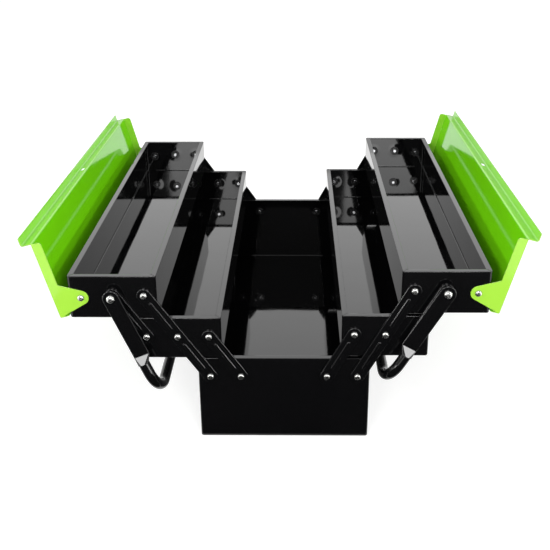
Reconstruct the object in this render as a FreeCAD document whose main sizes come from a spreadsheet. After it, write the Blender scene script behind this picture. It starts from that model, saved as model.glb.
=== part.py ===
"""Cantilever tool box with five compartments, shown opened out.

Sizes are in millimetres. X runs across the box, Y along it with the front end at -Y, and Z up
from the floor. Each side opens on flat link arms riveted to both ends of the box. A long arm
carries the lower tray at its middle and the upper tray at its top, and a short arm beside each
half of it keeps the trays level. A folded lid swings on the upper tray, and a bent tube handle
with flattened ends turns on the outermost rivet.
"""
import os
import re
from math import atan2, hypot, sqrt

import FreeCAD
import Part
import Sketcher

Vector = FreeCAD.Vector

SIZES = {
    # Folded sheet boxes: the base and the four trays.
    "box_length": 530.0,
    "box_width": 200.0,
    "base_height": 108.0,
    "tray_height": 52.0,
    "sheet_thickness": 0.8,
    "corner_radius": 3.0,
    "bend_radius": 2.0,
    "rim_width": 6.5,
    "rim_rounding": 0.5,
    "mitre_slit": 0.5,
    "mitre_inset": 1.8,
    "stack_gap": 0.4,
    "centre_gap": 0.6,
    # Pivots, measured from the long walls and from the rim of each box.
    "pivot_inset": 14.5,
    "pivot_drop": 23.0,
    "lid_pivot_drop": 26.0,
    "left_open_angle": 34.3,
    "right_open_angle": 28.7,
    # Link arms.
    "arm_width": 16.4,
    "arm_thickness": 2.0,
    "arm_edge_rounding": 0.7,
    "arm_gap": 0.4,
    "rib_width": 3.6,
    "groove_width": 1.8,
    "rib_height": 0.9,
    "rib_inset": 13.0,
    "rib_rounding": 0.6,
    # Rivets, their washers and the spacer behind each handle.
    "rivet_diameter": 3.6,
    "rivet_head_diameter": 7.8,
    "rivet_head_height": 2.4,
    "rivet_head_rounding": 2.1,
    "handle_head_diameter": 9.6,
    "handle_head_height": 3.2,
    "handle_head_rounding": 2.8,
    "rivet_tail_diameter": 6.0,
    "rivet_tail_height": 1.2,
    "rivet_tail_rounding": 0.8,
    "running_clearance": 0.05,
    "head_gap": 0.2,
    "washer_diameter": 14.0,
    "washer_thickness": 1.0,
    "spacer_diameter": 11.0,
    "spacer_length": 5.0,
    # Lids, measured from their pivot with the lid closed.
    "lid_open_angle": 104.5,
    "lid_swing_gap": 0.4,
    "lid_side_gap": 0.4,
    "lid_bend_radius": 1.5,
    "skirt_overhang": 4.0,
    "skirt_stop_gap": 0.4,
    "lip_width": 10.0,
    "lip_height": 11.8,
    "lip_bend_radius": 2.4,
    "lip_centre_gap": 0.4,
    "lip_corner_rounding": 1.5,
    "skirt_corner_rounding": 3.0,
    "end_flange_depth": 11.0,
    "end_flange_relief": 3.4,
    "end_flange_rounding": 4.0,
    "ear_radius": 8.7,
    "ear_spread": 21.0,
    "padlock_slot_length": 12.0,
    "padlock_slot_width": 5.0,
    # Handles, measured from their pivot.
    "left_handle_angle": 22.3,
    "right_handle_angle": 30.0,
    "handle_reach": 130.0,
    "handle_bend_radius": 30.0,
    "tube_diameter": 13.0,
    "tube_wall": 1.2,
    "flat_width": 19.0,
    "flat_thickness": 2.4,
    "flat_rounding": 0.9,
    "flat_taper": 7.0,
    "tube_straight": 14.5,
    "taper_crown": 1.8,
}

SIDES = {"left": -1, "right": 1}
ENDS = {"front": -1, "rear": 1}

# Sizes that follow from the driving ones.
HALF_WIDTH = "(box_width / 2)"
HALF_LENGTH = "(box_length / 2)"
PIVOT_PITCH = "(box_width / 4 - pivot_inset)"
ARM_CENTRES = f"sqrt({PIVOT_PITCH} ^ 2 + (tray_height + stack_gap) ^ 2)"
RIVET_HOLE = "(rivet_diameter / 2 + running_clearance)"
PANEL_TOP = "(sqrt(pivot_inset ^ 2 + lid_pivot_drop ^ 2) + lid_swing_gap + sheet_thickness)"
SKIRT_REACH = "(pivot_inset + skirt_overhang)"
SKIRT_FOOT = ("((pivot_inset + skirt_stop_gap - (pivot_inset + skirt_overhang) * cos(lid_open_angle))"
              " / sin(lid_open_angle))")
LIP_END = "(box_width / 2 - pivot_inset - lip_centre_gap)"
STEP_FACE = "(box_width / 2 - pivot_inset - lip_centre_gap - lip_width)"
ARM_TOP = "(arm_gap + arm_thickness + head_gap)"
EAR_TOP = "(lid_side_gap + sheet_thickness + head_gap)"
HANDLE_BACK = "(arm_gap + arm_thickness + head_gap + spacer_length + head_gap)"
HANDLE_TOP = "(arm_gap + arm_thickness + spacer_length + flat_thickness + 3 * head_gap)"
HANDLE_PLANE = f"(box_length / 2 + {HANDLE_BACK} + tube_diameter / 2)"
FLAT_PLANE = f"(box_length / 2 + {HANDLE_BACK} + flat_thickness / 2)"
TUBE_START = "(handle_reach - handle_bend_radius - tube_straight)"
FLAT_END = "(handle_reach - handle_bend_radius - tube_straight - flat_taper)"


def in_sheet(text):
    """Return an expression whose size names point at the cells of the sheet."""
    return re.sub(r"[a-z_]+", lambda word: f"Sizes.{word[0]}" if word[0] in SIZES else word[0], text)


def make_sheet(doc):
    """Write every driving size into a spreadsheet cell with its own alias."""
    sheet = doc.addObject("Spreadsheet::Sheet", "Sizes")
    for row, (alias, value) in enumerate(SIZES.items(), start=1):
        sheet.set(f"A{row}", alias)
        sheet.set(f"B{row}", str(value))
        sheet.setAlias(f"B{row}", alias)
    doc.recompute()
    return sheet


def bind(item, prop, text):
    """Tie one property to an expression of the sheet's sizes."""
    item.setExpression(prop, in_sheet(text))


def place(item, x, y, z, turn=None):
    """Tie an object's place to the sheet, and its turn about the Y axis where it has one."""
    if turn is not None:
        item.Placement = FreeCAD.Placement(Vector(), FreeCAD.Rotation(Vector(0, 1, 0), 1))
        bind(item, "Placement.Rotation.Angle", turn)
    bind(item, "Placement.Base.x", x)
    bind(item, "Placement.Base.y", y)
    bind(item, "Placement.Base.z", z)


def new_body(doc, label):
    """Add an empty body whose label is the node's name."""
    body = doc.addObject("PartDesign::Body", label)
    body.Label = label
    return body


def new_sketch(body, name, role, offset=None):
    """Add a sketch on one of the body's own origin planes, moved along its normal if asked."""
    sketch = body.newObject("Sketcher::SketchObject", name)
    plane = next(item for item in body.Origin.OriginFeatures if item.Role == role)
    sketch.AttachmentSupport = [(plane, "")]
    sketch.MapMode = "FlatFace"
    if offset is not None:
        bind(sketch, "AttachmentOffset.Base.z", offset)
    return sketch


def value_of(item, text):
    """Return the present value of an expression."""
    return float(item.evalExpression(in_sheet(text)))


def constrain(sketch, kind, geometry, position, text):
    """Hold one coordinate of a point at an expression, measured from the sketch's origin."""
    value = value_of(sketch, text)
    index = sketch.addConstraint(Sketcher.Constraint(kind, -1, 1, geometry, position, value))
    bind(sketch, f"Constraints[{index}]", text)


def hold_point(sketch, geometry, position, x, y):
    """Hold a point at two expressions; a plain zero puts it on the sketch's axis."""
    if x == "0" and y == "0":
        sketch.addConstraint(Sketcher.Constraint("Coincident", geometry, position, -1, 1))
        return
    if x == "0":
        sketch.addConstraint(Sketcher.Constraint("PointOnObject", geometry, position, -2))
    else:
        constrain(sketch, "DistanceX", geometry, position, x)
    if y == "0":
        sketch.addConstraint(Sketcher.Constraint("PointOnObject", geometry, position, -1))
    else:
        constrain(sketch, "DistanceY", geometry, position, y)


def hold_radius(sketch, geometry, text):
    """Hold the radius of an arc or circle at an expression."""
    index = sketch.addConstraint(Sketcher.Constraint("Radius", geometry, value_of(sketch, text)))
    bind(sketch, f"Constraints[{index}]", text)


def circle(sketch, x, y, radius):
    """Draw a circle."""
    centre = Vector(value_of(sketch, x), value_of(sketch, y), 0)
    ring = Part.Circle(centre, Vector(0, 0, 1), value_of(sketch, radius))
    index = sketch.addGeometry(ring, False)
    hold_point(sketch, index, 3, x, y)
    hold_radius(sketch, index, radius)


def tangent_points(first, second):
    """Return where a line touches two stops when both lie to its left.

    Each stop is its centre and its radius: zero is a corner, and less than zero is an inside bend.
    """
    (x1, y1, r1), (x2, y2, r2) = first, second
    span = hypot(x2 - x1, y2 - y1)
    along = Vector((x2 - x1) / span, (y2 - y1) / span, 0)
    aside = Vector(along.y, -along.x, 0)
    lean = (r1 - r2) / span
    normal = along * lean + aside * sqrt(1 - lean ** 2)
    return Vector(x1, y1, 0) + normal * r1, Vector(x2, y2, 0) + normal * r2


def outline(sketch, stops, mirrored=False):
    """Draw a closed outline of straight lines that run anticlockwise from stop to stop.

    Args:
        sketch: The sketch that gets the outline.
        stops: Corners (x, y) and arcs (x, y, radius, turn); turn is 1 outside and -1 inside.
        mirrored: True to flip the outline's x coordinates.
    """
    if mirrored:
        stops = [(f"-({stop[0]})" if stop[0] != "0" else "0", *stop[1:]) for stop in reversed(stops)]
    rounds = []
    for stop in stops:
        x, y = (value_of(sketch, text) for text in stop[:2])
        radius = stop[3] * value_of(sketch, stop[2]) if len(stop) > 2 else 0.0
        rounds.append((x, y, radius))
    count = len(stops)
    touches = [tangent_points(rounds[i], rounds[(i + 1) % count]) for i in range(count)]
    lines = [sketch.addGeometry(Part.LineSegment(*touch), False) for touch in touches]
    for i, stop in enumerate(stops):
        before = lines[i - 1]
        after = lines[i]
        if len(stop) == 2:
            sketch.addConstraint(Sketcher.Constraint("Coincident", before, 2, after, 1))
            hold_point(sketch, after, 1, *stop)
            continue
        x, y, radius = rounds[i]
        arrive = touches[i - 1][1]
        leave = touches[i][0]
        angles = [atan2(point.y - y, point.x - x) for point in (arrive, leave)]
        first, last = (1, 2) if radius > 0 else (2, 1)
        if radius < 0:
            angles.reverse()
        ring = Part.Circle(Vector(x, y, 0), Vector(0, 0, 1), abs(radius))
        arc = sketch.addGeometry(Part.ArcOfCircle(ring, *angles), False)
        sketch.addConstraint(Sketcher.Constraint("Tangent", before, 2, arc, first))
        sketch.addConstraint(Sketcher.Constraint("Tangent", arc, last, after, 1))
        hold_point(sketch, arc, 3, stop[0], stop[1])
        hold_radius(sketch, arc, stop[2])


def rounded_rectangle(sketch, low, high, radius):
    """Draw a rectangle between two corners with rounded corners."""
    left, right = f"{low[0]} + {radius}", f"{high[0]} - ({radius})"
    bottom, top = f"{low[1]} + {radius}", f"{high[1]} - ({radius})"
    corners = ((right, bottom), (right, top), (left, top), (left, bottom))
    outline(sketch, [(x, y, radius, 1) for x, y in corners])


def upright_slot(sketch, low, high, radius):
    """Draw a round-ended slot along the sketch's vertical axis."""
    outline(sketch, [("0", low, radius, 1), ("0", high, radius, 1)])


def pad(body, sketch, length, reverse=False, both_ways=False):
    """Raise a solid from a sketch."""
    feature = body.newObject("PartDesign::Pad", "Pad")
    feature.Profile = sketch
    feature.Reversed = reverse
    feature.Midplane = both_ways
    bind(feature, "Length", length)
    return feature


def pocket(body, sketch, length=None, reverse=False):
    """Cut a pocket of a given depth, or right through both ways where none is given."""
    feature = body.newObject("PartDesign::Pocket", "Pocket")
    feature.Profile = sketch
    feature.Reversed = reverse
    if length is None:
        feature.Type = "ThroughAll"
        feature.Midplane = True
    else:
        bind(feature, "Length", length)
    return feature


def edges_where(feature, test):
    """Name the edges of a feature whose bounding box passes a test."""
    feature.Document.recompute()
    return [f"Edge{i}" for i, edge in enumerate(feature.Shape.Edges, start=1) if test(edge.BoundBox)]


def fillet(body, feature, radius, test):
    """Round the edges of a feature that pass a test."""
    names = edges_where(feature, test)
    rounding = body.newObject("PartDesign::Fillet", "Fillet")
    rounding.Base = (feature, names)
    bind(rounding, "Radius", radius)
    return rounding


def near(value, target):
    """Tell whether two lengths agree."""
    return abs(value - target) < 1e-4


def on_outside(box, whole):
    """Tell whether an edge's box reaches one of the upright faces of the whole box."""
    return (near(box.XMin, whole.XMin) or near(box.XMax, whole.XMax)
            or near(box.YMin, whole.YMin) or near(box.YMax, whole.YMax))


def open_box(doc, label, low, high, height, pivots):
    """Build a folded sheet box, open at the top, with a mitred inward rim and pivot holes in its ends.

    Args:
        doc: The document.
        label: The node's name.
        low, high: Expressions for the outer faces of the two long walls.
        height: Expression for the height of the walls.
        pivots: Pairs of expressions, x and z, for the holes through both end walls.
    """
    body = new_body(doc, label)
    footprint = new_sketch(body, "Footprint", "XY_Plane")
    rounded_rectangle(footprint, (low, f"-{HALF_LENGTH}"), (high, HALF_LENGTH), "corner_radius")
    block = pad(body, footprint, height)
    folds = fillet(body, block, "bend_radius", lambda box: near(box.ZMin, 0) and near(box.ZMax, 0))
    doc.recompute()
    tops = [f"Face{i}" for i, face in enumerate(folds.Shape.Faces, start=1)
            if near(face.BoundBox.ZMin, block.Length.Value)]
    shell = body.newObject("PartDesign::Thickness", "Shell")
    shell.Base = (folds, tops)
    shell.Reversed = True
    bind(shell, "Value", "sheet_thickness")
    rim = new_sketch(body, "Rim", "XY_Plane", f"{height} - sheet_thickness")
    rounded_rectangle(rim, (low, f"-{HALF_LENGTH}"), (high, HALF_LENGTH), "corner_radius")
    inside_low = (f"{low} + rim_width", f"-{HALF_LENGTH} + rim_width")
    inside_high = (f"{high} - rim_width", f"{HALF_LENGTH} - rim_width")
    rounded_rectangle(rim, inside_low, inside_high, "bend_radius")
    rim_plate = pad(body, rim, "sheet_thickness")
    doc.recompute()
    whole = block.Shape.BoundBox
    fillet(body, rim_plate, "rim_rounding",
           lambda box: near(box.ZMin, whole.ZMax) and on_outside(box, whole))
    mitres = new_sketch(body, "Mitres", "XY_Plane", height)
    half_slit = "mitre_slit / sqrt(2)"
    for x, across in ((low, "+"), (high, "-")):
        for y, along in ((f"-{HALF_LENGTH}", "+"), (HALF_LENGTH, "-")):
            outer = (f"{x} {across} mitre_inset", f"{y} {along} mitre_inset")
            inner = (f"{x} {across} (rim_width + mitre_slit)", f"{y} {along} (rim_width + mitre_slit)")
            outline(mitres, [
                (f"{outer[0]} - {half_slit}", outer[1]),
                (f"{outer[0]} + {half_slit}", outer[1]),
                (f"{inner[0]} + {half_slit}", inner[1]),
                (f"{inner[0]} - {half_slit}", inner[1]),
            ])
    pocket(body, mitres, "sheet_thickness")
    holes = new_sketch(body, "PivotHoles", "XZ_Plane")
    for x, z in pivots:
        circle(holes, x, z, RIVET_HOLE)
    pocket(body, holes)
    return body


def tray_place(side, level):
    """Return the expressions for how far a tray has swung out and up on its arms."""
    angle = f"{side}_open_angle"
    out = f"{SIDES[side] * level} * ({PIVOT_PITCH} + {ARM_CENTRES} * sin({angle}))"
    up = f"base_height - tray_height + {level} * {ARM_CENTRES} * cos({angle})"
    return out, up


def pivot_out(index):
    """Return the distance from the centre plane to a pivot of a closed box; 0 is outermost."""
    return f"({HALF_WIDTH} - pivot_inset - {index} * {PIVOT_PITCH})"


def base_tray(doc):
    """Build the deep compartment that stands on the floor."""
    height = "(base_height - pivot_drop)"
    pivots = [(f"{sign} * {pivot_out(i)}", height) for sign in SIDES.values() for i in (0, 1)]
    return open_box(doc, "base_tray", f"-{HALF_WIDTH}", HALF_WIDTH, "base_height", pivots)


def tray(doc, side, level):
    """Build one of the four shallow trays: level 1 is the lower one, 2 the upper one."""
    sign = SIDES[side]
    inner, outer = f"{sign} * centre_gap / 2", f"{sign} * {HALF_WIDTH}"
    low, high = (outer, inner) if sign < 0 else (inner, outer)
    drops = ("pivot_drop",) * 3 if level == 1 else ("lid_pivot_drop", "pivot_drop", "pivot_drop")
    pivots = [(f"{sign} * {pivot_out(i)}", f"(tray_height - {drop})") for i, drop in enumerate(drops)]
    name = "lower" if level == 1 else "upper"
    body = open_box(doc, f"{side}_{name}_tray", low, high, "tray_height", pivots)
    out, up = tray_place(side, level)
    place(body, out, "0", up)
    return body


def link_arm(doc, label, spans, end):
    """Build a flat link arm with a pressed rib between each two pivots.

    Args:
        doc: The document.
        label: The node's name.
        spans: The number of pivot spans along the arm.
        end: -1 for an arm on the front end of the box, 1 for the rear end.
    """
    body = new_body(doc, label)
    back = f"{-end} * arm_gap"
    face = f"{-end} * (arm_gap + arm_thickness)"
    blank = new_sketch(body, "Blank", "XZ_Plane", back)
    upright_slot(blank, "0", f"{spans} * {ARM_CENTRES}", "arm_width / 2")
    for i in range(spans + 1):
        circle(blank, "0", f"{i} * {ARM_CENTRES}" if i else "0", RIVET_HOLE)
    plate = pad(body, blank, "arm_thickness", reverse=end > 0)
    outside = value_of(blank, "arm_gap + arm_thickness")
    width = value_of(blank, "arm_width")
    fillet(body, plate, "arm_edge_rounding",
           lambda box: near(min(abs(box.YMin), abs(box.YMax)), outside) and box.DiagonalLength > width)
    rib = new_sketch(body, "Rib", "XZ_Plane", face)
    groove = new_sketch(body, "Groove", "XZ_Plane", back)
    for i in range(spans):
        ends = (f"{i} * {ARM_CENTRES} + rib_inset", f"{i + 1} * {ARM_CENTRES} - rib_inset")
        upright_slot(rib, *ends, "rib_width / 2")
        upright_slot(groove, *ends, "groove_width / 2")
    raised = pad(body, rib, "rib_height", reverse=end > 0)
    doc.recompute()
    crest = max(abs(vertex.Point.y) for vertex in raised.Shape.Vertexes)
    fillet(body, raised, "rib_rounding",
           lambda box: near(min(abs(box.YMin), abs(box.YMax)), crest))
    pocket(body, groove, "rib_height", reverse=end < 0)
    return body


def arms(doc, side):
    """Build the three arms of one side at both ends of the box."""
    sign = SIDES[side]
    angle = f"{side}_open_angle"
    low = "base_height - pivot_drop"
    step_out = f"{ARM_CENTRES} * sin({angle})"
    step_up = f"{ARM_CENTRES} * cos({angle})"
    kinds = {
        "long": (2, pivot_out(0), low),
        "inner": (1, pivot_out(1), low),
        "outer": (1, f"({pivot_out(0)} + {PIVOT_PITCH} + {step_out})", f"{low} + {step_up}"),
    }
    made = []
    for kind, (spans, out, up) in kinds.items():
        for end_name, end in ENDS.items():
            arm = link_arm(doc, f"{side}_{kind}_arm_{end_name}", spans, end)
            place(arm, f"{sign} * {out}", f"{end} * {HALF_LENGTH}", up, f"{sign} * {angle}")
            made.append(arm)
    return made


def upper_pivot(side, index, drop):
    """Return the expressions for a pivot of the upper tray; index 0 is outermost."""
    out, up = tray_place(side, 2)
    return f"{SIDES[side]} * {pivot_out(index)} + {out}", f"{up} + tray_height - {drop}"


def lid(doc, side):
    """Build one folded lid: a panel with a skirt, a raised lip and ears on its end flanges."""
    sign = SIDES[side]
    body = new_body(doc, f"{side}_lid")
    bend = "lid_bend_radius"
    inner_bend = "(lid_bend_radius - sheet_thickness)"
    lip_bend = "lip_bend_radius"
    inner_lip_bend = "(lip_bend_radius - sheet_thickness)"
    lip_top = f"({PANEL_TOP} + lip_height)"
    edge = (f"{SKIRT_REACH} - {bend}", f"{PANEL_TOP} - {bend}")
    foot = (f"{inner_bend} - {STEP_FACE}", f"{PANEL_TOP} + {inner_bend}")
    brow = (f"-{STEP_FACE} - {lip_bend}", f"{lip_top} - {lip_bend}")
    section = new_sketch(body, "Section", "XZ_Plane")
    outline(section, [
        (SKIRT_REACH, SKIRT_FOOT),
        (*edge, bend, 1),
        (*foot, inner_bend, -1),
        (*brow, lip_bend, 1),
        (f"-{LIP_END}", lip_top),
        (f"-{LIP_END}", f"{lip_top} - sheet_thickness"),
        (*brow, inner_lip_bend, -1),
        (*foot, bend, 1),
        (*edge, inner_bend, -1),
        (f"{SKIRT_REACH} - sheet_thickness", SKIRT_FOOT),
    ], mirrored=sign < 0)
    sheet = pad(body, section, "box_length + 2 * (lid_side_gap + sheet_thickness)", both_ways=True)
    lip_end = value_of(section, LIP_END)
    lip = fillet(body, sheet, "lip_corner_rounding",
                 lambda box: near(box.YLength, 0) and near(box.XLength, 0)
                 and near(box.XMin, -sign * lip_end))
    skirt_foot = value_of(section, SKIRT_FOOT)
    fillet(body, lip, "skirt_corner_rounding",
           lambda box: near(box.YLength, 0) and near(box.ZMax, skirt_foot))
    flange = new_sketch(body, "EndFlange", "XZ_Plane", f"{HALF_LENGTH} + lid_side_gap")
    flange_foot = f"({PANEL_TOP} - end_flange_depth)"
    outline(flange, [
        ("0", "0", "ear_radius", 1),
        (f"{SKIRT_REACH} - end_flange_relief", flange_foot),
        (*edge, bend, 1),
        (f"-{STEP_FACE}", PANEL_TOP),
        (f"end_flange_rounding - {STEP_FACE}", f"{flange_foot} + end_flange_rounding",
         "end_flange_rounding", 1),
        ("-ear_spread", flange_foot),
    ], mirrored=sign < 0)
    circle(flange, "0", "0", RIVET_HOLE)
    front = pad(body, flange, "sheet_thickness")
    both = body.newObject("PartDesign::Mirrored", "BothEnds")
    both.Originals = [front]
    both.MirrorPlane = (next(item for item in body.Origin.OriginFeatures if item.Role == "XZ_Plane"), [""])
    body.Tip = both
    doc.recompute()
    slot = new_sketch(body, "PadlockSlot", "YZ_Plane")
    middle = f"{PANEL_TOP} + lip_height / 2"
    rounded_rectangle(slot, ("-padlock_slot_length / 2", f"{middle} - padlock_slot_width / 2"),
                      ("padlock_slot_length / 2", f"{middle} + padlock_slot_width / 2"), "lid_bend_radius")
    pocket(body, slot)
    out, up = upper_pivot(side, 0, "lid_pivot_drop")
    place(body, out, "0", up, f"{sign} * lid_open_angle")
    return body


def handle(doc, side):
    """Build one handle: a bent tube whose ends are pressed flat, flush with its inner side."""
    sign = SIDES[side]
    body = new_body(doc, f"{side}_handle")
    tube = "(tube_diameter / 2)"
    bend_start = "(handle_reach - handle_bend_radius)"
    route = new_sketch(body, "Route", "YZ_Plane")
    corner = f"({HANDLE_PLANE} - handle_bend_radius)"
    points = [(f"-{HANDLE_PLANE}", f"-{TUBE_START}"), (f"-{HANDLE_PLANE}", f"-{bend_start}"),
              (f"-{corner}", "-handle_reach"), (corner, "-handle_reach"),
              (HANDLE_PLANE, f"-{bend_start}"), (HANDLE_PLANE, f"-{TUBE_START}")]
    spots = [Vector(*(value_of(route, text) for text in point), 0) for point in points]
    legs = [route.addGeometry(Part.LineSegment(spots[i], spots[i + 1]), False) for i in (0, 2, 4)]
    bend_size = value_of(route, "handle_bend_radius")
    quarter = atan2(1, 0)
    for turn, (i, j) in ((-1, (0, 1)), (1, (1, 2))):
        centre = Vector(turn * spots[3].x, spots[1].y, 0)
        ring = Part.Circle(centre, Vector(0, 0, 1), bend_size)
        start = 2 * quarter if turn < 0 else 3 * quarter
        arc = route.addGeometry(Part.ArcOfCircle(ring, start, start + quarter), False)
        route.addConstraint(Sketcher.Constraint("Tangent", legs[i], 2, arc, 1))
        route.addConstraint(Sketcher.Constraint("Tangent", arc, 2, legs[j], 1))
        hold_radius(route, arc, "handle_bend_radius")
    hold_point(route, legs[0], 1, *points[0])
    hold_point(route, legs[2], 2, *points[5])
    route.addConstraint(Sketcher.Constraint("Vertical", legs[0]))
    route.addConstraint(Sketcher.Constraint("Vertical", legs[2]))
    route.addConstraint(Sketcher.Constraint("Horizontal", legs[1]))
    constrain(route, "DistanceY", legs[1], 1, "-handle_reach")
    ring = new_sketch(body, "TubeSection", "XY_Plane", f"-{TUBE_START}")
    circle(ring, "0", f"-{HANDLE_PLANE}", tube)
    circle(ring, "0", f"-{HANDLE_PLANE}", f"{tube} - tube_wall")
    doc.recompute()
    sweep = body.newObject("PartDesign::AdditivePipe", "Tube")
    sweep.Profile = ring
    sweep.Spine = (route, [f"Edge{i}" for i in (1, 4, 2, 5, 3)])
    flat_end = value_of(route, FLAT_END)
    for end in ENDS.values():
        plate = new_sketch(body, "Plate", "XZ_Plane", f"{-end} * ({FLAT_PLANE} + flat_thickness / 2)")
        outline(plate, [("flat_width / 2", f"-{FLAT_END}"), ("0", "0", "flat_width / 2", 1),
                        ("-flat_width / 2", f"-{FLAT_END}")])
        circle(plate, "0", "0", RIVET_HOLE)
        flat = pad(body, plate, "flat_thickness", reverse=end < 0)
        fillet(body, flat, "flat_rounding",
               lambda box: near(box.YLength, 0) and end * box.YMin > 0
               and near(box.ZMin, -flat_end) and box.ZLength > flat_end / 2)
        sections = []
        for name, depth, plane, wide, deep, rounding in (
            ("TaperFlat", FLAT_END, FLAT_PLANE, "flat_width / 2", "flat_thickness / 2", "flat_rounding"),
            ("TaperTube", TUBE_START, HANDLE_PLANE, tube, tube, f"({tube} - taper_crown)"),
        ):
            sketch = new_sketch(body, name, "XY_Plane", f"-{depth}")
            leg = f"{end} * {plane}"
            rounded_rectangle(sketch, (f"-{wide}", f"{leg} - {deep}"), (wide, f"{leg} + {deep}"), rounding)
            sections.append(sketch)
        doc.recompute()
        taper = body.newObject("PartDesign::AdditiveLoft", "Taper")
        taper.Profile = sections[0]
        taper.Sections = sections[1:]
        taper.Ruled = True
    x, z = upper_pivot(side, 1, "pivot_drop")
    place(body, x, "0", z, f"{sign} * {side}_handle_angle")
    return body


def revolved(doc, label, profile):
    """Build a round piece on the Y axis, its outer end towards -Y, from corners (radius, y)."""
    body = new_body(doc, label)
    sketch = new_sketch(body, "Profile", "XY_Plane")
    outline(sketch, profile)
    turned = body.newObject("PartDesign::Revolution", "Turned")
    turned.Profile = sketch
    turned.ReferenceAxis = (sketch, ["V_Axis"])
    turned.Angle = 360
    return body


def rivet(doc, label, seat, kind="rivet"):
    """Build a rivet for a stack of a given height outside the end wall; kind names its head's sizes."""
    shank = "rivet_diameter / 2"
    head = f"{kind}_head_diameter / 2"
    rounding = f"{kind}_head_rounding"
    tail = "rivet_tail_diameter / 2"
    tail_seat = "(sheet_thickness + washer_thickness)"
    crown = f"({seat} + {kind}_head_height)"
    tail_end = f"({tail_seat} + rivet_tail_height)"
    return revolved(doc, label, [
        ("0", f"-{crown}"),
        (f"{head} - {rounding}", f"{rounding} - {crown}", rounding, 1),
        (head, f"-{seat}"),
        (shank, f"-{seat}"),
        (shank, tail_seat),
        (tail, tail_seat),
        (f"{tail} - rivet_tail_rounding", f"{tail_end} - rivet_tail_rounding", "rivet_tail_rounding", 1),
        ("0", tail_end),
    ])


def ring_piece(doc, label, outer, near_face, far_face):
    """Build a washer or spacer with the rivet's hole through it."""
    return revolved(doc, label, [(RIVET_HOLE, near_face), (outer, near_face), (outer, far_face),
                                 (RIVET_HOLE, far_face)])


def group(doc, label, pattern, pivots):
    """Set a copy of a round piece at each pivot on both ends of the box, as one node."""
    copies = []
    for x, z in pivots:
        for end in ENDS.values():
            copy = doc.addObject("App::Link", f"{label}_copy")
            copy.LinkedObject = pattern
            if end > 0:
                copy.Placement = FreeCAD.Placement(Vector(), FreeCAD.Rotation(Vector(0, 0, 1), 180))
            place(copy, x, f"{end} * {HALF_LENGTH}", z)
            copies.append(copy)
    node = doc.addObject("Part::Compound", label)
    node.Label = label
    node.Links = copies
    return node


def fasteners(doc):
    """Build the rivets, washers and spacers, grouped by the box or tray that holds them."""
    arm_rivet = rivet(doc, "arm_rivet_pattern", ARM_TOP)
    lid_rivet = rivet(doc, "lid_rivet_pattern", EAR_TOP)
    handle_rivet = rivet(doc, "handle_rivet_pattern", HANDLE_TOP, "handle")
    washer = ring_piece(doc, "washer_pattern", "washer_diameter / 2", "sheet_thickness",
                        "(sheet_thickness + washer_thickness)")
    spacer = ring_piece(doc, "spacer_pattern", "spacer_diameter / 2", f"-({ARM_TOP} + spacer_length)",
                        f"-{ARM_TOP}")
    base = [(f"{sign} * {pivot_out(i)}", "base_height - pivot_drop")
            for sign in SIDES.values() for i in (0, 1)]
    made = [group(doc, "base_rivets", arm_rivet, base), group(doc, "base_washers", washer, base)]
    for side, sign in SIDES.items():
        out, up = tray_place(side, 1)
        lower = [(f"{sign} * {pivot_out(i)} + {out}", f"{up} + tray_height - pivot_drop") for i in range(3)]
        lid_pivot = upper_pivot(side, 0, "lid_pivot_drop")
        handle_pivot = upper_pivot(side, 1, "pivot_drop")
        arm_pivot = upper_pivot(side, 2, "pivot_drop")
        made += [
            group(doc, f"{side}_lower_rivets", arm_rivet, lower),
            group(doc, f"{side}_lower_washers", washer, lower),
            group(doc, f"{side}_upper_rivets", arm_rivet, [arm_pivot]),
            group(doc, f"{side}_lid_rivets", lid_rivet, [lid_pivot]),
            group(doc, f"{side}_handle_rivets", handle_rivet, [handle_pivot]),
            group(doc, f"{side}_handle_spacers", spacer, [handle_pivot]),
            group(doc, f"{side}_upper_washers", washer, [lid_pivot, handle_pivot, arm_pivot]),
        ]
    return made


def check(doc, parts):
    """Stop if any object failed to compute or any sub-part has no sound shape."""
    for item in doc.Objects:
        if "Invalid" in item.State or "Error" in item.State:
            raise RuntimeError(f"{item.Name} failed: {item.State}")
    for part in parts:
        if part.Shape.isNull() or not part.Shape.isValid():
            raise RuntimeError(f"{part.Label} has no valid shape")


def main():
    """Build the tool box and write each sub-part to its own file."""
    doc = FreeCAD.newDocument("tool_box")
    make_sheet(doc)
    parts = [base_tray(doc)]
    for side in SIDES:
        parts += [tray(doc, side, 1), tray(doc, side, 2)]
        parts += arms(doc, side)
        parts += [lid(doc, side), handle(doc, side)]
    parts += fasteners(doc)
    doc.recompute()
    check(doc, parts)
    os.makedirs("parts", exist_ok=True)
    for part in parts:
        part.Shape.exportStep(f"parts/{part.Label}.step")
        print(part.Label, len(part.Shape.Solids), round(part.Shape.Volume / 1000, 3))


main()
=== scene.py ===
"""Dress and light an opened cantilever tool box for its studio picture.

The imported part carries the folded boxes, link arms, lids, handles and rivets at their real sizes.
This script gives each of them its finish and sets up the floor, the lamps and the camera. Lengths
are in metres unless a name ends in _mm.
"""

from __future__ import annotations

import logging
from dataclasses import dataclass
from enum import Enum
from math import cos, pi, radians, sin

import bpy
from mathutils import Matrix, Vector


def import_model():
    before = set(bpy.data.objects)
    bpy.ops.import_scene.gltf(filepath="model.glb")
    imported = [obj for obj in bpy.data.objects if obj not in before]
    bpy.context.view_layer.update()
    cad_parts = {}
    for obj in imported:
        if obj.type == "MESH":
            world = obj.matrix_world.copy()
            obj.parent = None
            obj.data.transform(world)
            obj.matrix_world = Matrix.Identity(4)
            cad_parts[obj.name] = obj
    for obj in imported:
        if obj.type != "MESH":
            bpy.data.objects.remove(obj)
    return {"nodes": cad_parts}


LOG = logging.getLogger("tool_box")
MM = 0.001
IMAGE_SIDE_PX = 550
WHITE = "#FFFFFF"
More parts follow.
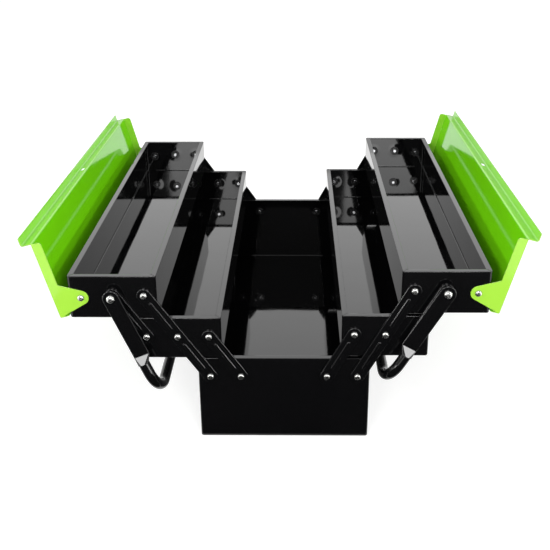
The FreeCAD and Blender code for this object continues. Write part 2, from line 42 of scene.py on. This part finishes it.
# Most of a noise pattern's values lie between these two.
NOISE_LOW = 0.3
NOISE_HIGH = 0.75

Nodes = dict[str, bpy.types.Object]
Colour = tuple[float, float, float, float]
Spots = tuple[tuple[float, float], ...]


class Side(Enum):
    """The two halves of the box that fold out."""

    LEFT = "left"
    RIGHT = "right"


class Tier(Enum):
    """The two trays that each half carries."""

    LOWER = "lower"
    UPPER = "upper"


class Arm(Enum):
    """The link arms at each end of each half."""

    LONG = "long"
    INNER = "inner"
    OUTER = "outer"


def linear(hex_colour: str) -> Colour:
    """Turn an sRGB hex colour into linear RGBA, by the sRGB standard's own curve.

    Args:
        hex_colour: Six hex digits after a hash.

    Returns:
        The colour in linear light, fully opaque.
    """
    parts = [int(hex_colour[i:i + 2], 16) / 255 for i in (1, 3, 5)]
    light = [p / 12.92 if p <= 0.04045 else ((p + 0.055) / 1.055) ** 2.4 for p in parts]
    return (*light, 1.0)


def add_node(
    tree: bpy.types.NodeTree,
    kind: str,
    values: dict[str | int, object] | None = None,
    links: dict[str | int, bpy.types.NodeSocket] | None = None,
    **settings: object,
) -> bpy.types.Node:
    """Add a node with its settings, input values and incoming links.

    Args:
        tree: The node tree that gets the node.
        kind: The node's type name.
        values: Input values by socket name or number.
        links: Output sockets to link, by the input's name or number.
        **settings: Properties of the node itself.

    Returns:
        The new node.
    """
    node = tree.nodes.new(kind)
    for key, value in settings.items():
        setattr(node, key, value)
    for key, value in (values or {}).items():
        node.inputs[key].default_value = value
    for key, socket in (links or {}).items():
        tree.links.new(socket, node.inputs[key])
    return node


def mix_colours(
    tree: bpy.types.NodeTree,
    share: bpy.types.NodeSocket,
    first: str | bpy.types.NodeSocket,
    second: str,
) -> bpy.types.NodeSocket:
    """Mix two colours.

    Args:
        tree: The node tree that gets the mix.
        share: How much of the second colour shows, from zero to one.
        first: A hex colour, or a socket that gives one.
        second: A hex colour.

    Returns:
        The mixed colour.
    """
    node = add_node(tree, "ShaderNodeMix", data_type="RGBA")
    colour_a, colour_b = [s for s in node.inputs if s.type == "RGBA"]
    tree.links.new(share, node.inputs[0])
    if isinstance(first, str):
        colour_a.default_value = linear(first)
    else:
        tree.links.new(first, colour_a)
    colour_b.default_value = linear(second)
    return next(s for s in node.outputs if s.type == "RGBA")


def distance_along(
    tree: bpy.types.NodeTree,
    place: bpy.types.NodeSocket,
) -> bpy.types.NodeSocket:
    """Measure how far a place lies from the middle of the box, along it.

    Args:
        tree: The material's node tree.
        place: The surface's place.

    Returns:
        The distance, alike towards both ends.
    """
    parts = add_node(tree, "ShaderNodeSeparateXYZ", links={0: place})
    reach = add_node(tree, "ShaderNodeMath", links={0: parts.outputs["Y"]}, operation="ABSOLUTE")
    return reach.outputs[0]


def noise(
    tree: bpy.types.NodeTree,
    place: bpy.types.NodeSocket,
    size_mm: float,
    detail: float,
) -> bpy.types.NodeSocket:
    """Draw a soft random pattern.

    Args:
        tree: The material's node tree.
        place: The surface's place.
        size_mm: The size of its largest marks.
        detail: How many finer layers lie on them.

    Returns:
        The pattern, from zero to one.
    """
    return add_node(tree, "ShaderNodeTexNoise", {"Scale": 1 / (size_mm * MM), "Detail": detail},
                    {"Vector": place}).outputs["Fac"]


def vary_gloss(
    tree: bpy.types.NodeTree,
    pattern: bpy.types.NodeSocket,
    roughness: float,
    spread: tuple[float, float],
) -> bpy.types.NodeSocket:
    """Vary a finish's roughness with a pattern.

    Args:
        tree: The material's node tree.
        pattern: The noise that it follows.
        roughness: The finish's middle roughness.
        spread: The shares of it where the pattern is low and where it is high.

    Returns:
        The roughness.
    """
    low, high = spread
    return add_node(tree, "ShaderNodeMapRange",
                    {"From Min": NOISE_LOW, "From Max": NOISE_HIGH,
                     "To Min": roughness * low, "To Max": roughness * high},
                    {"Value": pattern}).outputs["Result"]


def bump(
    tree: bpy.types.NodeTree,
    height: bpy.types.NodeSocket,
    depth_mm: float,
    normal: bpy.types.NodeSocket | None = None,
) -> bpy.types.NodeSocket:
    """Bend the way a surface faces, as if a pattern raised it.

    Args:
        tree: The material's node tree.
        height: The pattern.
        depth_mm: How far it raises the surface.
        normal: The way the surface faces, if something has bent it already.

    Returns:
        The way the surface faces now.
    """
    links = {"Height": height} if normal is None else {"Height": height, "Normal": normal}
    return add_node(tree, "ShaderNodeBump", {"Strength": 1.0, "Distance": depth_mm * MM},
                    links).outputs["Normal"]


def seen_by_viewer(tree: bpy.types.NodeTree) -> bpy.types.NodeSocket:
    """Tell the rays that the viewer sees by, straight, mirrored or through glass, from the rest.

    Args:
        tree: The node tree that asks.

    Returns:
        A socket that is one for those rays and zero for the others.
    """
    path = add_node(tree, "ShaderNodeLightPath")
    seen = add_node(tree, "ShaderNodeMath", operation="ADD",
                    links={0: path.outputs["Is Camera Ray"], 1: path.outputs["Is Glossy Ray"]})
    shown = add_node(tree, "ShaderNodeMath", operation="ADD", use_clamp=True,
                     links={0: seen.outputs[0], 1: path.outputs["Is Transmission Ray"]})
    return shown.outputs[0]


def new_material(name: str) -> tuple[bpy.types.Material, bpy.types.NodeTree]:
    """Make an empty node material.

    Args:
        name: The finish's name.

    Returns:
        The material and its node tree.
    """
    material = bpy.data.materials.new(name)
    material.use_nodes = True
    material.node_tree.nodes.clear()
    return material, material.node_tree


@dataclass(frozen=True)
class PaintedPaleLight:
    """Painted light on a lid's enamel: paler on its lip and, more so, on its end flanges, where
    strong light falls.

    The lip starts at a height measured along the direction up, which lies in the lid's panel.
    """

    up: tuple[float, float, float]
    lip: float
    lip_share: float = 0.4
    end_mm: float = 264.8
    end_share: float = 1.0
    fade_mm: float = 0.8

    def mask(self, tree: bpy.types.NodeTree, place: bpy.types.NodeSocket) -> bpy.types.NodeSocket:
        """Draw where the enamel is painted paler, as painted light.

        Args:
            tree: The material's node tree.
            place: The surface's place.

        Returns:
            The shares named above on the lip and the end flanges, zero on the panel between them.
        """
        height = add_node(tree, "ShaderNodeVectorMath", {1: self.up}, {0: place},
                          operation="DOT_PRODUCT")
        starts = (
            (height.outputs["Value"], self.lip, self.lip_share),
            (distance_along(tree, place), self.end_mm * MM, self.end_share),
        )
        zones = []
        for value, start, share in starts:
            zone = add_node(
                tree, "ShaderNodeMapRange",
                {"From Min": start, "From Max": start + self.fade_mm * MM, "To Max": share},
                {"Value": value})
            zones.append(zone.outputs["Result"])
        mask = add_node(tree, "ShaderNodeMath", links=dict(enumerate(zones)), operation="MAXIMUM")
        return mask.outputs[0]


@dataclass(frozen=True)
class StovedEnamel:
    """Glossy enamel stoved onto pressed steel sheet.

    The eye sees a clear wet gloss, a faint orange peel in the paint, the slow waves of light-gauge
    sheet that bend what it mirrors, a shallow dimple where a rivet pulls on the sheet, and edges
    that the paint rounds, so that they catch the lamps. A lid can also get a paler colour as
    painted light.
    """

    name: str
    colour: str
    shade: str
    # A paler colour painted in where strong light falls: painted light.
    pale_light_colour: str = ""
    roughness: float = 0.045
    gloss_spread: tuple[float, float] = (0.75, 1.4)
    ior: float = 1.5
    peel_mm: float = 2.2
    peel_depth_mm: float = 0.0035
    wave_mm: float = 48.0
    wave_depth_mm: float = 0.12
    tone_mm: float = 70.0
    haze_mm: float = 24.0
    dimple_mm: float = 13.5
    dimple_depth_mm: float = 0.3
    edge_mm: float = 0.9
    edge_samples: int = 6

    def make(self, rivets: Spots = (), pale_light: PaintedPaleLight | None = None) -> bpy.types.Material:
        """Build the material.

        Args:
            rivets: Places across and above the floor of the rivets that dimple the sheet.
            pale_light: Where strong light is painted in as a paler enamel, if it is painted
                anywhere.

        Returns:
            The material.
        """
        material, tree = new_material(self.name)
        place = add_node(tree, "ShaderNodeTexCoord").outputs["Object"]
        patterns = {}
        for key, size_mm, detail in (("peel", self.peel_mm, 1.0), ("wave", self.wave_mm, 0.0),
                                     ("tone", self.tone_mm, 2.0), ("haze", self.haze_mm, 3.0)):
            patterns[key] = noise(tree, place, size_mm, detail)
        paint = mix_colours(tree, patterns["tone"], self.colour, self.shade)
        # Painted light: a paler colour on a lid's lip and end flanges, where strong light falls.
        if pale_light:
            paint = mix_colours(tree, pale_light.mask(tree, place), paint, self.pale_light_colour)
        gloss = vary_gloss(tree, patterns["haze"], self.roughness, self.gloss_spread)
        edge = add_node(tree, "ShaderNodeBevel", {"Radius": self.edge_mm * MM},
                        samples=self.edge_samples)
        normal = bump(tree, patterns["wave"], self.wave_depth_mm, edge.outputs["Normal"])
        if rivets:
            dimples = self.dimples(tree, place, rivets)
            normal = bump(tree, dimples, self.dimple_depth_mm, normal)
        normal = bump(tree, patterns["peel"], self.peel_depth_mm, normal)
        shader = add_node(tree, "ShaderNodeBsdfPrincipled", {"IOR": self.ior},
                          {"Base Color": paint, "Roughness": gloss, "Normal": normal})
        add_node(tree, "ShaderNodeOutputMaterial", links={"Surface": shader.outputs[0]})
        return material

    def dimples(
        self,
        tree: bpy.types.NodeTree,
        place: bpy.types.NodeSocket,
        rivets: Spots,
    ) -> bpy.types.NodeSocket:
        """Draw a round dimple about each rivet's axis, which runs along the box.

        Args:
            tree: The material's node tree.
            place: The surface's place.
            rivets: Places across and above the floor of the rivets.

        Returns:
            The height of the sheet, one at a rivet and zero away from it.
        """
        flat = add_node(tree, "ShaderNodeVectorMath", {1: (1.0, 0.0, 1.0)}, {0: place},
                        operation="MULTIPLY")
        height = None
        for x, z in rivets:
            away = add_node(tree, "ShaderNodeVectorMath", {1: (x, 0.0, z)}, {0: flat.outputs[0]},
                            operation="DISTANCE")
            swell = add_node(tree, "ShaderNodeMapRange",
                             {"From Max": self.dimple_mm * MM, "To Min": 1.0, "To Max": 0.0},
                             {"Value": away.outputs["Value"]},
                             interpolation_type="SMOOTHSTEP").outputs["Result"]
            if height is None:
                height = swell
            else:
                height = add_node(tree, "ShaderNodeMath", links={0: height, 1: swell},
                                  operation="ADD").outputs[0]
        return height


@dataclass(frozen=True)
class BrightPlate:
    """Bright zinc plate under clear lacquer on cold-headed steel rivets.

    The eye sees a soft metal with a sharp glint on top and a faint grain. The tails, inside the end
    walls, are greyer and polished by the die that closed them.
    """

    name: str
    colour: str
    shade: str
    tail: str
    roughness: float = 0.22
    gloss_spread: tuple[float, float] = (0.8, 1.5)
    tail_roughness: float = 0.12
    lacquer: float = 0.6
    lacquer_roughness: float = 0.05
    grain_mm: float = 0.9
    grain_detail: float = 2.0
    grain_depth_mm: float = 0.004
    wall_mm: float = 264.0

    def make(self) -> bpy.types.Material:
        """Build the material."""
        material, tree = new_material(self.name)
        place = add_node(tree, "ShaderNodeTexCoord").outputs["Object"]
        grain = noise(tree, place, self.grain_mm, self.grain_detail)
        metal = mix_colours(tree, grain, self.colour, self.shade)
        inside = add_node(tree, "ShaderNodeMath", {1: self.wall_mm * MM},
                          {0: distance_along(tree, place)}, operation="LESS_THAN").outputs[0]
        coloured = mix_colours(tree, inside, metal, self.tail)
        gloss = vary_gloss(tree, grain, self.roughness, self.gloss_spread)
        polish = add_node(tree, "ShaderNodeMix", {"B": self.tail_roughness},
                          {"Factor": inside, "A": gloss})
        shader = add_node(tree, "ShaderNodeBsdfPrincipled",
                          {"Metallic": 1.0, "Coat Weight": self.lacquer,
                           "Coat Roughness": self.lacquer_roughness},
                          {"Base Color": coloured, "Roughness": polish.outputs[0],
                           "Normal": bump(tree, grain, self.grain_depth_mm)})
        add_node(tree, "ShaderNodeOutputMaterial", links={"Surface": shader.outputs[0]})
        return material


# Black enamel: deep and even, so that its gloss carries all that is seen of it.
BLACK_ENAMEL = StovedEnamel("black_stoved_enamel", "#0A0A0B", "#060607")
# Lime green enamel: strong and opaque, a little softer in its gloss than the black. Its third
# colour is
# painted light: a paler green on the lids' lips and end flanges, where strong light falls.
GREEN_ENAMEL = StovedEnamel("lime_green_stoved_enamel", "#7ADD12", "#73D40D", "#9BD240",
                            roughness=0.08)
# Black oxide on punched steel: dull beside the enamel.
BLACK_OXIDE = StovedEnamel("black_oxide_steel", "#121213", "#0A0A0A",
                           roughness=0.26, wave_depth_mm=0.0)
# Bright zinc: the rivets flash white and black as they curve.
BRIGHT_ZINC = BrightPlate("bright_zinc_plate", "#D4D4D1", "#B6B6B3", "#A0A0A2")


@dataclass(frozen=True)
class Finishes:
    """The finishes that pieces share, made once."""

    black: bpy.types.Material
    oxide: bpy.types.Material
    zinc: bpy.types.Material

    @classmethod
    def make(cls) -> Finishes:
        """Build the shared finishes."""
        return cls(BLACK_ENAMEL.make(), BLACK_OXIDE.make(), BRIGHT_ZINC.make())


def dress(piece: bpy.types.Object, finish: bpy.types.Material) -> None:
    """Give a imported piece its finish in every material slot.

    Args:
        piece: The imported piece.
        finish: The material.
    """
    for holder in piece.material_slots:
        holder.material = finish
    LOG.info("%s: %s", piece.name, finish.name)


@dataclass
class SheetBox:
    """One folded sheet box with the washers that its rivets are closed over."""

    nodes: Nodes
    finishes: Finishes
    name: str
    washers: str
    spacing_mm: float = 20.0

    def rivet_places(self) -> Spots:
        """Find the rivets' axes from the washers.

        Returns:
            Each axis's place across the box and above the floor.
        """
        piece = self.nodes[self.washers]
        groups: list[list[Vector]] = []
        for vertex in piece.data.vertices:
            spot = Vector((vertex.co.x, 0.0, vertex.co.z))
            for group in groups:
                if (group[0] - spot).length < self.spacing_mm * MM:
                    group.append(spot)
                    break
            else:
                groups.append([spot])
        middles = [[(min(v[i] for v in group) + max(v[i] for v in group)) / 2 for i in (0, 2)]
                   for group in groups]
        return tuple((x, z) for x, z in middles)

    def dress(self) -> None:
        """Enamel the box, with a dimple at each rivet, and blacken its washers."""
        dress(self.nodes[self.name], BLACK_ENAMEL.make(self.rivet_places()))
        dress(self.nodes[self.washers], self.finishes.oxide)


@dataclass
class BaseBox:
    """The deep compartment on the floor, with its rivets."""

    nodes: Nodes
    finishes: Finishes

    def dress(self) -> None:
        """Give the base its finishes."""
        SheetBox(self.nodes, self.finishes, "base_tray", "base_washers").dress()
        dress(self.nodes["base_rivets"], self.finishes.zinc)


@dataclass
class Lid:
    """One folded lid whose open panel leans outward, with a lip along the panel's far edge."""

    piece: bpy.types.Object
    side: Side
    lean_deg: float = 14.5
    lip_mm: float = 10.6

    def dress(self) -> None:
        """Enamel the lid, painted paler on its lip and its end flanges to stand in for the strong
        light there.
        """
        lean = radians(self.lean_deg) * (-1 if self.side is Side.LEFT else 1)
        up = Vector((sin(lean), 0.0, cos(lean)))
        lip = max(vertex.co.dot(up) for vertex in self.piece.data.vertices) - self.lip_mm * MM
        dress(self.piece, GREEN_ENAMEL.make(pale_light=PaintedPaleLight(tuple(up), lip)))


@dataclass
class SwingOutHalf:
    """One half of the box: two trays on link arms, a lid and a handle."""

    nodes: Nodes
    finishes: Finishes
    side: Side

    def dress(self) -> None:
        """Give every piece of this half its finish."""
        side = self.side.value
        for tier in Tier:
            SheetBox(self.nodes, self.finishes, f"{side}_{tier.value}_tray",
                     f"{side}_{tier.value}_washers").dress()
        black = [f"{side}_{arm.value}_arm_{end}" for arm in Arm for end in ("front", "rear")]
        for name in (*black, f"{side}_handle"):
            dress(self.nodes[name], self.finishes.black)
        for holder in ("lower", "upper", "lid", "handle"):
            dress(self.nodes[f"{side}_{holder}_rivets"], self.finishes.zinc)
        Lid(self.nodes[f"{side}_lid"], self.side).dress()
        dress(self.nodes[f"{side}_handle_spacers"], self.finishes.oxide)


@dataclass(frozen=True)
class SoftBox:
    """A studio lamp with a white cloth front, whose power is its brightness over that front."""

    name: str
    place: tuple[float, float, float]
    aim: tuple[float, float, float]
    width: float
    height: float
    brightness: float

    def make(self) -> None:
        """Hang the lamp and point it."""
        lamp = bpy.data.lights.new(self.name, "AREA")
        lamp.shape = "RECTANGLE"
        lamp.size = self.width
        lamp.size_y = self.height
        lamp.energy = self.brightness * self.width * self.height * pi
        holder = bpy.data.objects.new(self.name, lamp)
        bpy.context.scene.collection.objects.link(holder)
        holder.location = self.place
        ahead = Vector(self.aim) - Vector(self.place)
        holder.rotation_euler = ahead.to_track_quat("-Z", "Y").to_euler()


@dataclass(frozen=True)
class Studio:
    """A pale floor, soft lamps, white surroundings and a dark card that only reflections see:
    painted shade that keeps the fronts black.
    """

    floor_half: float = 6.0
    floor_colour: str = "#BDBDBC"
    floor_cloud: str = "#C3C3C2"
    floor_cloud_scale: float = 3.0
    floor_lift_near: float = 0.66
    floor_lift_far: float = 0.85
    floor_near: float = 0.5
    floor_far: float = 1.8
    surround_fill: float = 0.32
    camera_side: float = 0.45
    camera_side_end: float = -0.3
    white_side_start: float = 0.1
    # The card's colours are painted shade, seen only in the box's reflections, darkest near the
    # box.
    card_dark: str = "#262626"
    card_pale: str = "#3E3E3E"
    card_width: float = 0.75
    card_near: float = 0.268
    card_grade: float = 0.36
    card_far: float = 0.95
    lamps: tuple[SoftBox, ...] = (
        SoftBox("high_lamp_left", (-1.81, -0.69, 1.88), (-0.16, -0.28, 0.11), 1.4, 0.3, 12.0),
        SoftBox("high_lamp_right", (2.04, -0.65, 1.63), (0.14, -0.28, 0.12), 1.4, 0.3, 12.0),
        SoftBox("low_lamp_left", (-1.9, -0.9, 0.5), (0.0, -0.1, 0.2), 2.8, 0.12, 16.0),
        SoftBox("low_lamp_right", (1.9, -0.9, 0.5), (0.0, -0.1, 0.2), 2.8, 0.12, 16.0),
        SoftBox("front_lamp_left", (-0.335, -1.4, 0.74), (0.0, 0.0, 0.2), 0.27, 0.5, 14.0),
        SoftBox("front_lamp_right", (0.335, -1.4, 0.74), (0.0, 0.0, 0.2), 0.27, 0.5, 14.0),
        SoftBox("kick_lamp_left", (-0.62, -0.62, 0.05), (0.0, -0.27, 0.13), 0.14, 0.05, 10.0),
        SoftBox("kick_lamp_right", (0.62, -0.62, 0.05), (0.0, -0.27, 0.13), 0.14, 0.05, 10.0),
        SoftBox("back_lamp", (0.0, 2.4, 1.7), (0.0, 0.0, 0.1), 3.4, 1.6, 0.7),
        SoftBox("top_lamp", (0.0, 0.2, 2.6), (0.0, 0.0, 0.0), 2.4, 2.4, 0.6),
    )

    def make(self) -> None:
        """Build the floor, the card, the lamps and the surroundings."""
        self.make_floor()
        self.make_card()
        for lamp in self.lamps:
            lamp.make()
        self.make_surroundings()

    def make_floor(self) -> None:
        """Lay the floor: a matt sheet, lifted to white where the camera or a reflection sees it."""
        bpy.ops.mesh.primitive_plane_add(size=2 * self.floor_half)
        floor = bpy.context.object
        floor.name = "studio_floor"
        material, tree = new_material("pale_floor")
        place = add_node(tree, "ShaderNodeTexCoord").outputs["Object"]
        cloud = add_node(tree, "ShaderNodeTexNoise", {"Scale": self.floor_cloud_scale},
                         {"Vector": place})
        tint = mix_colours(tree, cloud.outputs["Fac"], self.floor_colour, self.floor_cloud)
        matt = add_node(tree, "ShaderNodeBsdfDiffuse", links={"Color": tint})
        away = add_node(tree, "ShaderNodeVectorMath", links={0: place}, operation="LENGTH")
        lift = add_node(tree, "ShaderNodeMapRange",
                        {"From Min": self.floor_near, "From Max": self.floor_far,
                         "To Min": self.floor_lift_near, "To Max": self.floor_lift_far},
                        {"Value": away.outputs["Value"]})
        glow = add_node(tree, "ShaderNodeEmission", {"Color": linear(WHITE)},
                        {"Strength": lift.outputs["Result"]})
        lifted = add_node(tree, "ShaderNodeAddShader",
                          links={0: matt.outputs[0], 1: glow.outputs[0]})
        mixed = add_node(tree, "ShaderNodeMixShader",
                         links={0: seen_by_viewer(tree), 1: matt.outputs[0], 2: lifted.outputs[0]})
        add_node(tree, "ShaderNodeOutputMaterial", links={"Surface": mixed.outputs[0]})
        floor.data.materials.append(material)

    def make_card(self) -> None:
        """Lay a card before the box, black near it and paler away: painted shade that only its
        gloss mirrors.
        """
        bpy.ops.mesh.primitive_plane_add(size=1.0)
        card = bpy.context.object
        card.name = "reflection_shade_card"
        depth = self.card_far - self.card_near
        bpy.ops.object.mode_set(mode="EDIT")
        bpy.ops.transform.resize(value=(self.card_width, depth, 1.0))
        bpy.ops.transform.translate(value=(0.0, -self.card_near - depth / 2, MM))
        bpy.ops.object.mode_set(mode="OBJECT")
        material, tree = new_material("painted_shade_card")
        place = add_node(tree, "ShaderNodeTexCoord").outputs["Object"]
        parts = add_node(tree, "ShaderNodeSeparateXYZ", links={0: place})
        grade = add_node(tree, "ShaderNodeMapRange",
                         {"From Min": -self.card_grade, "From Max": -self.card_far},
                         {"Value": parts.outputs["Y"]})
        tint = mix_colours(tree, grade.outputs["Result"], self.card_dark, self.card_pale)
        paper = add_node(tree, "ShaderNodeBsdfDiffuse", links={"Color": tint})
        add_node(tree, "ShaderNodeOutputMaterial", links={"Surface": paper.outputs[0]})
        card.data.materials.append(material)
        card.visible_camera = False
        card.visible_diffuse = False
        card.visible_shadow = False

    def make_surroundings(self) -> None:
        """Make white surroundings that turn dim on the camera's side, and a soft fill."""
        world = bpy.data.worlds.new("white_studio")
        bpy.context.scene.world = world
        world.use_nodes = True
        tree = world.node_tree
        tree.nodes.clear()
        towards = add_node(tree, "ShaderNodeTexCoord").outputs["Generated"]
        parts = add_node(tree, "ShaderNodeSeparateXYZ", links={0: towards})
        room = add_node(tree, "ShaderNodeMapRange",
                        {"From Min": self.camera_side_end, "From Max": self.white_side_start,
                         "To Min": self.camera_side}, {"Value": parts.outputs["Y"]})
        path = add_node(tree, "ShaderNodeLightPath")
        level = add_node(tree, "ShaderNodeMath", operation="MAXIMUM",
                         links={0: room.outputs["Result"], 1: path.outputs["Is Camera Ray"]})
        fill = add_node(tree, "ShaderNodeBackground",
                        {"Color": linear(WHITE), "Strength": self.surround_fill})
        white = add_node(tree, "ShaderNodeBackground", {"Color": linear(WHITE)},
                         {"Strength": level.outputs[0]})
        mixed = add_node(tree, "ShaderNodeMixShader",
                         links={0: seen_by_viewer(tree), 1: fill.outputs[0], 2: white.outputs[0]})
        add_node(tree, "ShaderNodeOutputWorld", links={"Surface": mixed.outputs[0]})


@dataclass(frozen=True)
class PictureCamera:
    """The camera of the picture, fitted to the rivets and tray corners."""

    place_mm: tuple[float, float, float] = (13.78, -1101.27, 614.39)
    pitch_deg: float = 22.11
    yaw_deg: float = -0.8
    roll_deg: float = 0.28
    focal_px: float = 834.49
    centre_px: tuple[float, float] = (285.02, 225.0)
    sensor_mm: float = 36.0
    clip_start: float = 0.01

    def axes(self) -> tuple[Vector, Vector, Vector]:
        """Return the camera's right, up and forward directions in the row frame."""
        pitch, yaw, roll = (radians(a) for a in (self.pitch_deg, self.yaw_deg, self.roll_deg))
        ahead = Vector((0, cos(pitch), -sin(pitch)))
        right = Vector((cos(roll), -sin(roll) * sin(pitch), -sin(roll) * cos(pitch)))
        up = Vector((sin(roll), cos(roll) * sin(pitch), cos(roll) * cos(pitch)))
        turn = Matrix.Rotation(-yaw, 3, "Z")
        return turn @ right, turn @ up, turn @ ahead

    def make(self) -> None:
        """Set up the camera."""
        lens = bpy.data.cameras.new("picture_camera")
        lens.sensor_width = self.sensor_mm
        lens.lens = self.focal_px * self.sensor_mm / IMAGE_SIDE_PX
        lens.shift_x = (IMAGE_SIDE_PX / 2 - self.centre_px[0]) / IMAGE_SIDE_PX
        lens.shift_y = (self.centre_px[1] - IMAGE_SIDE_PX / 2) / IMAGE_SIDE_PX
        lens.clip_start = self.clip_start
        holder = bpy.data.objects.new("picture_camera", lens)
        bpy.context.scene.collection.objects.link(holder)
        right, up, ahead = self.axes()
        turn = Matrix((right, up, -ahead)).transposed().to_4x4()
        holder.matrix_world = Matrix.Translation(Vector(self.place_mm) * MM) @ turn
        bpy.context.scene.camera = holder


def main() -> None:
    """Build the picture: the box's finishes, then the studio and the camera."""
    logging.basicConfig(level=logging.INFO)
    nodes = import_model()["nodes"]
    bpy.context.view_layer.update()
    bpy.context.scene.view_settings.view_transform = "Standard"
    bpy.ops.object.select_all(action="DESELECT")
    finishes = Finishes.make()
    BaseBox(nodes, finishes).dress()
    for side in Side:
        SwingOutHalf(nodes, finishes, side).dress()
    Studio().make()
    PictureCamera().make()


if __name__ == "__main__":
    main()
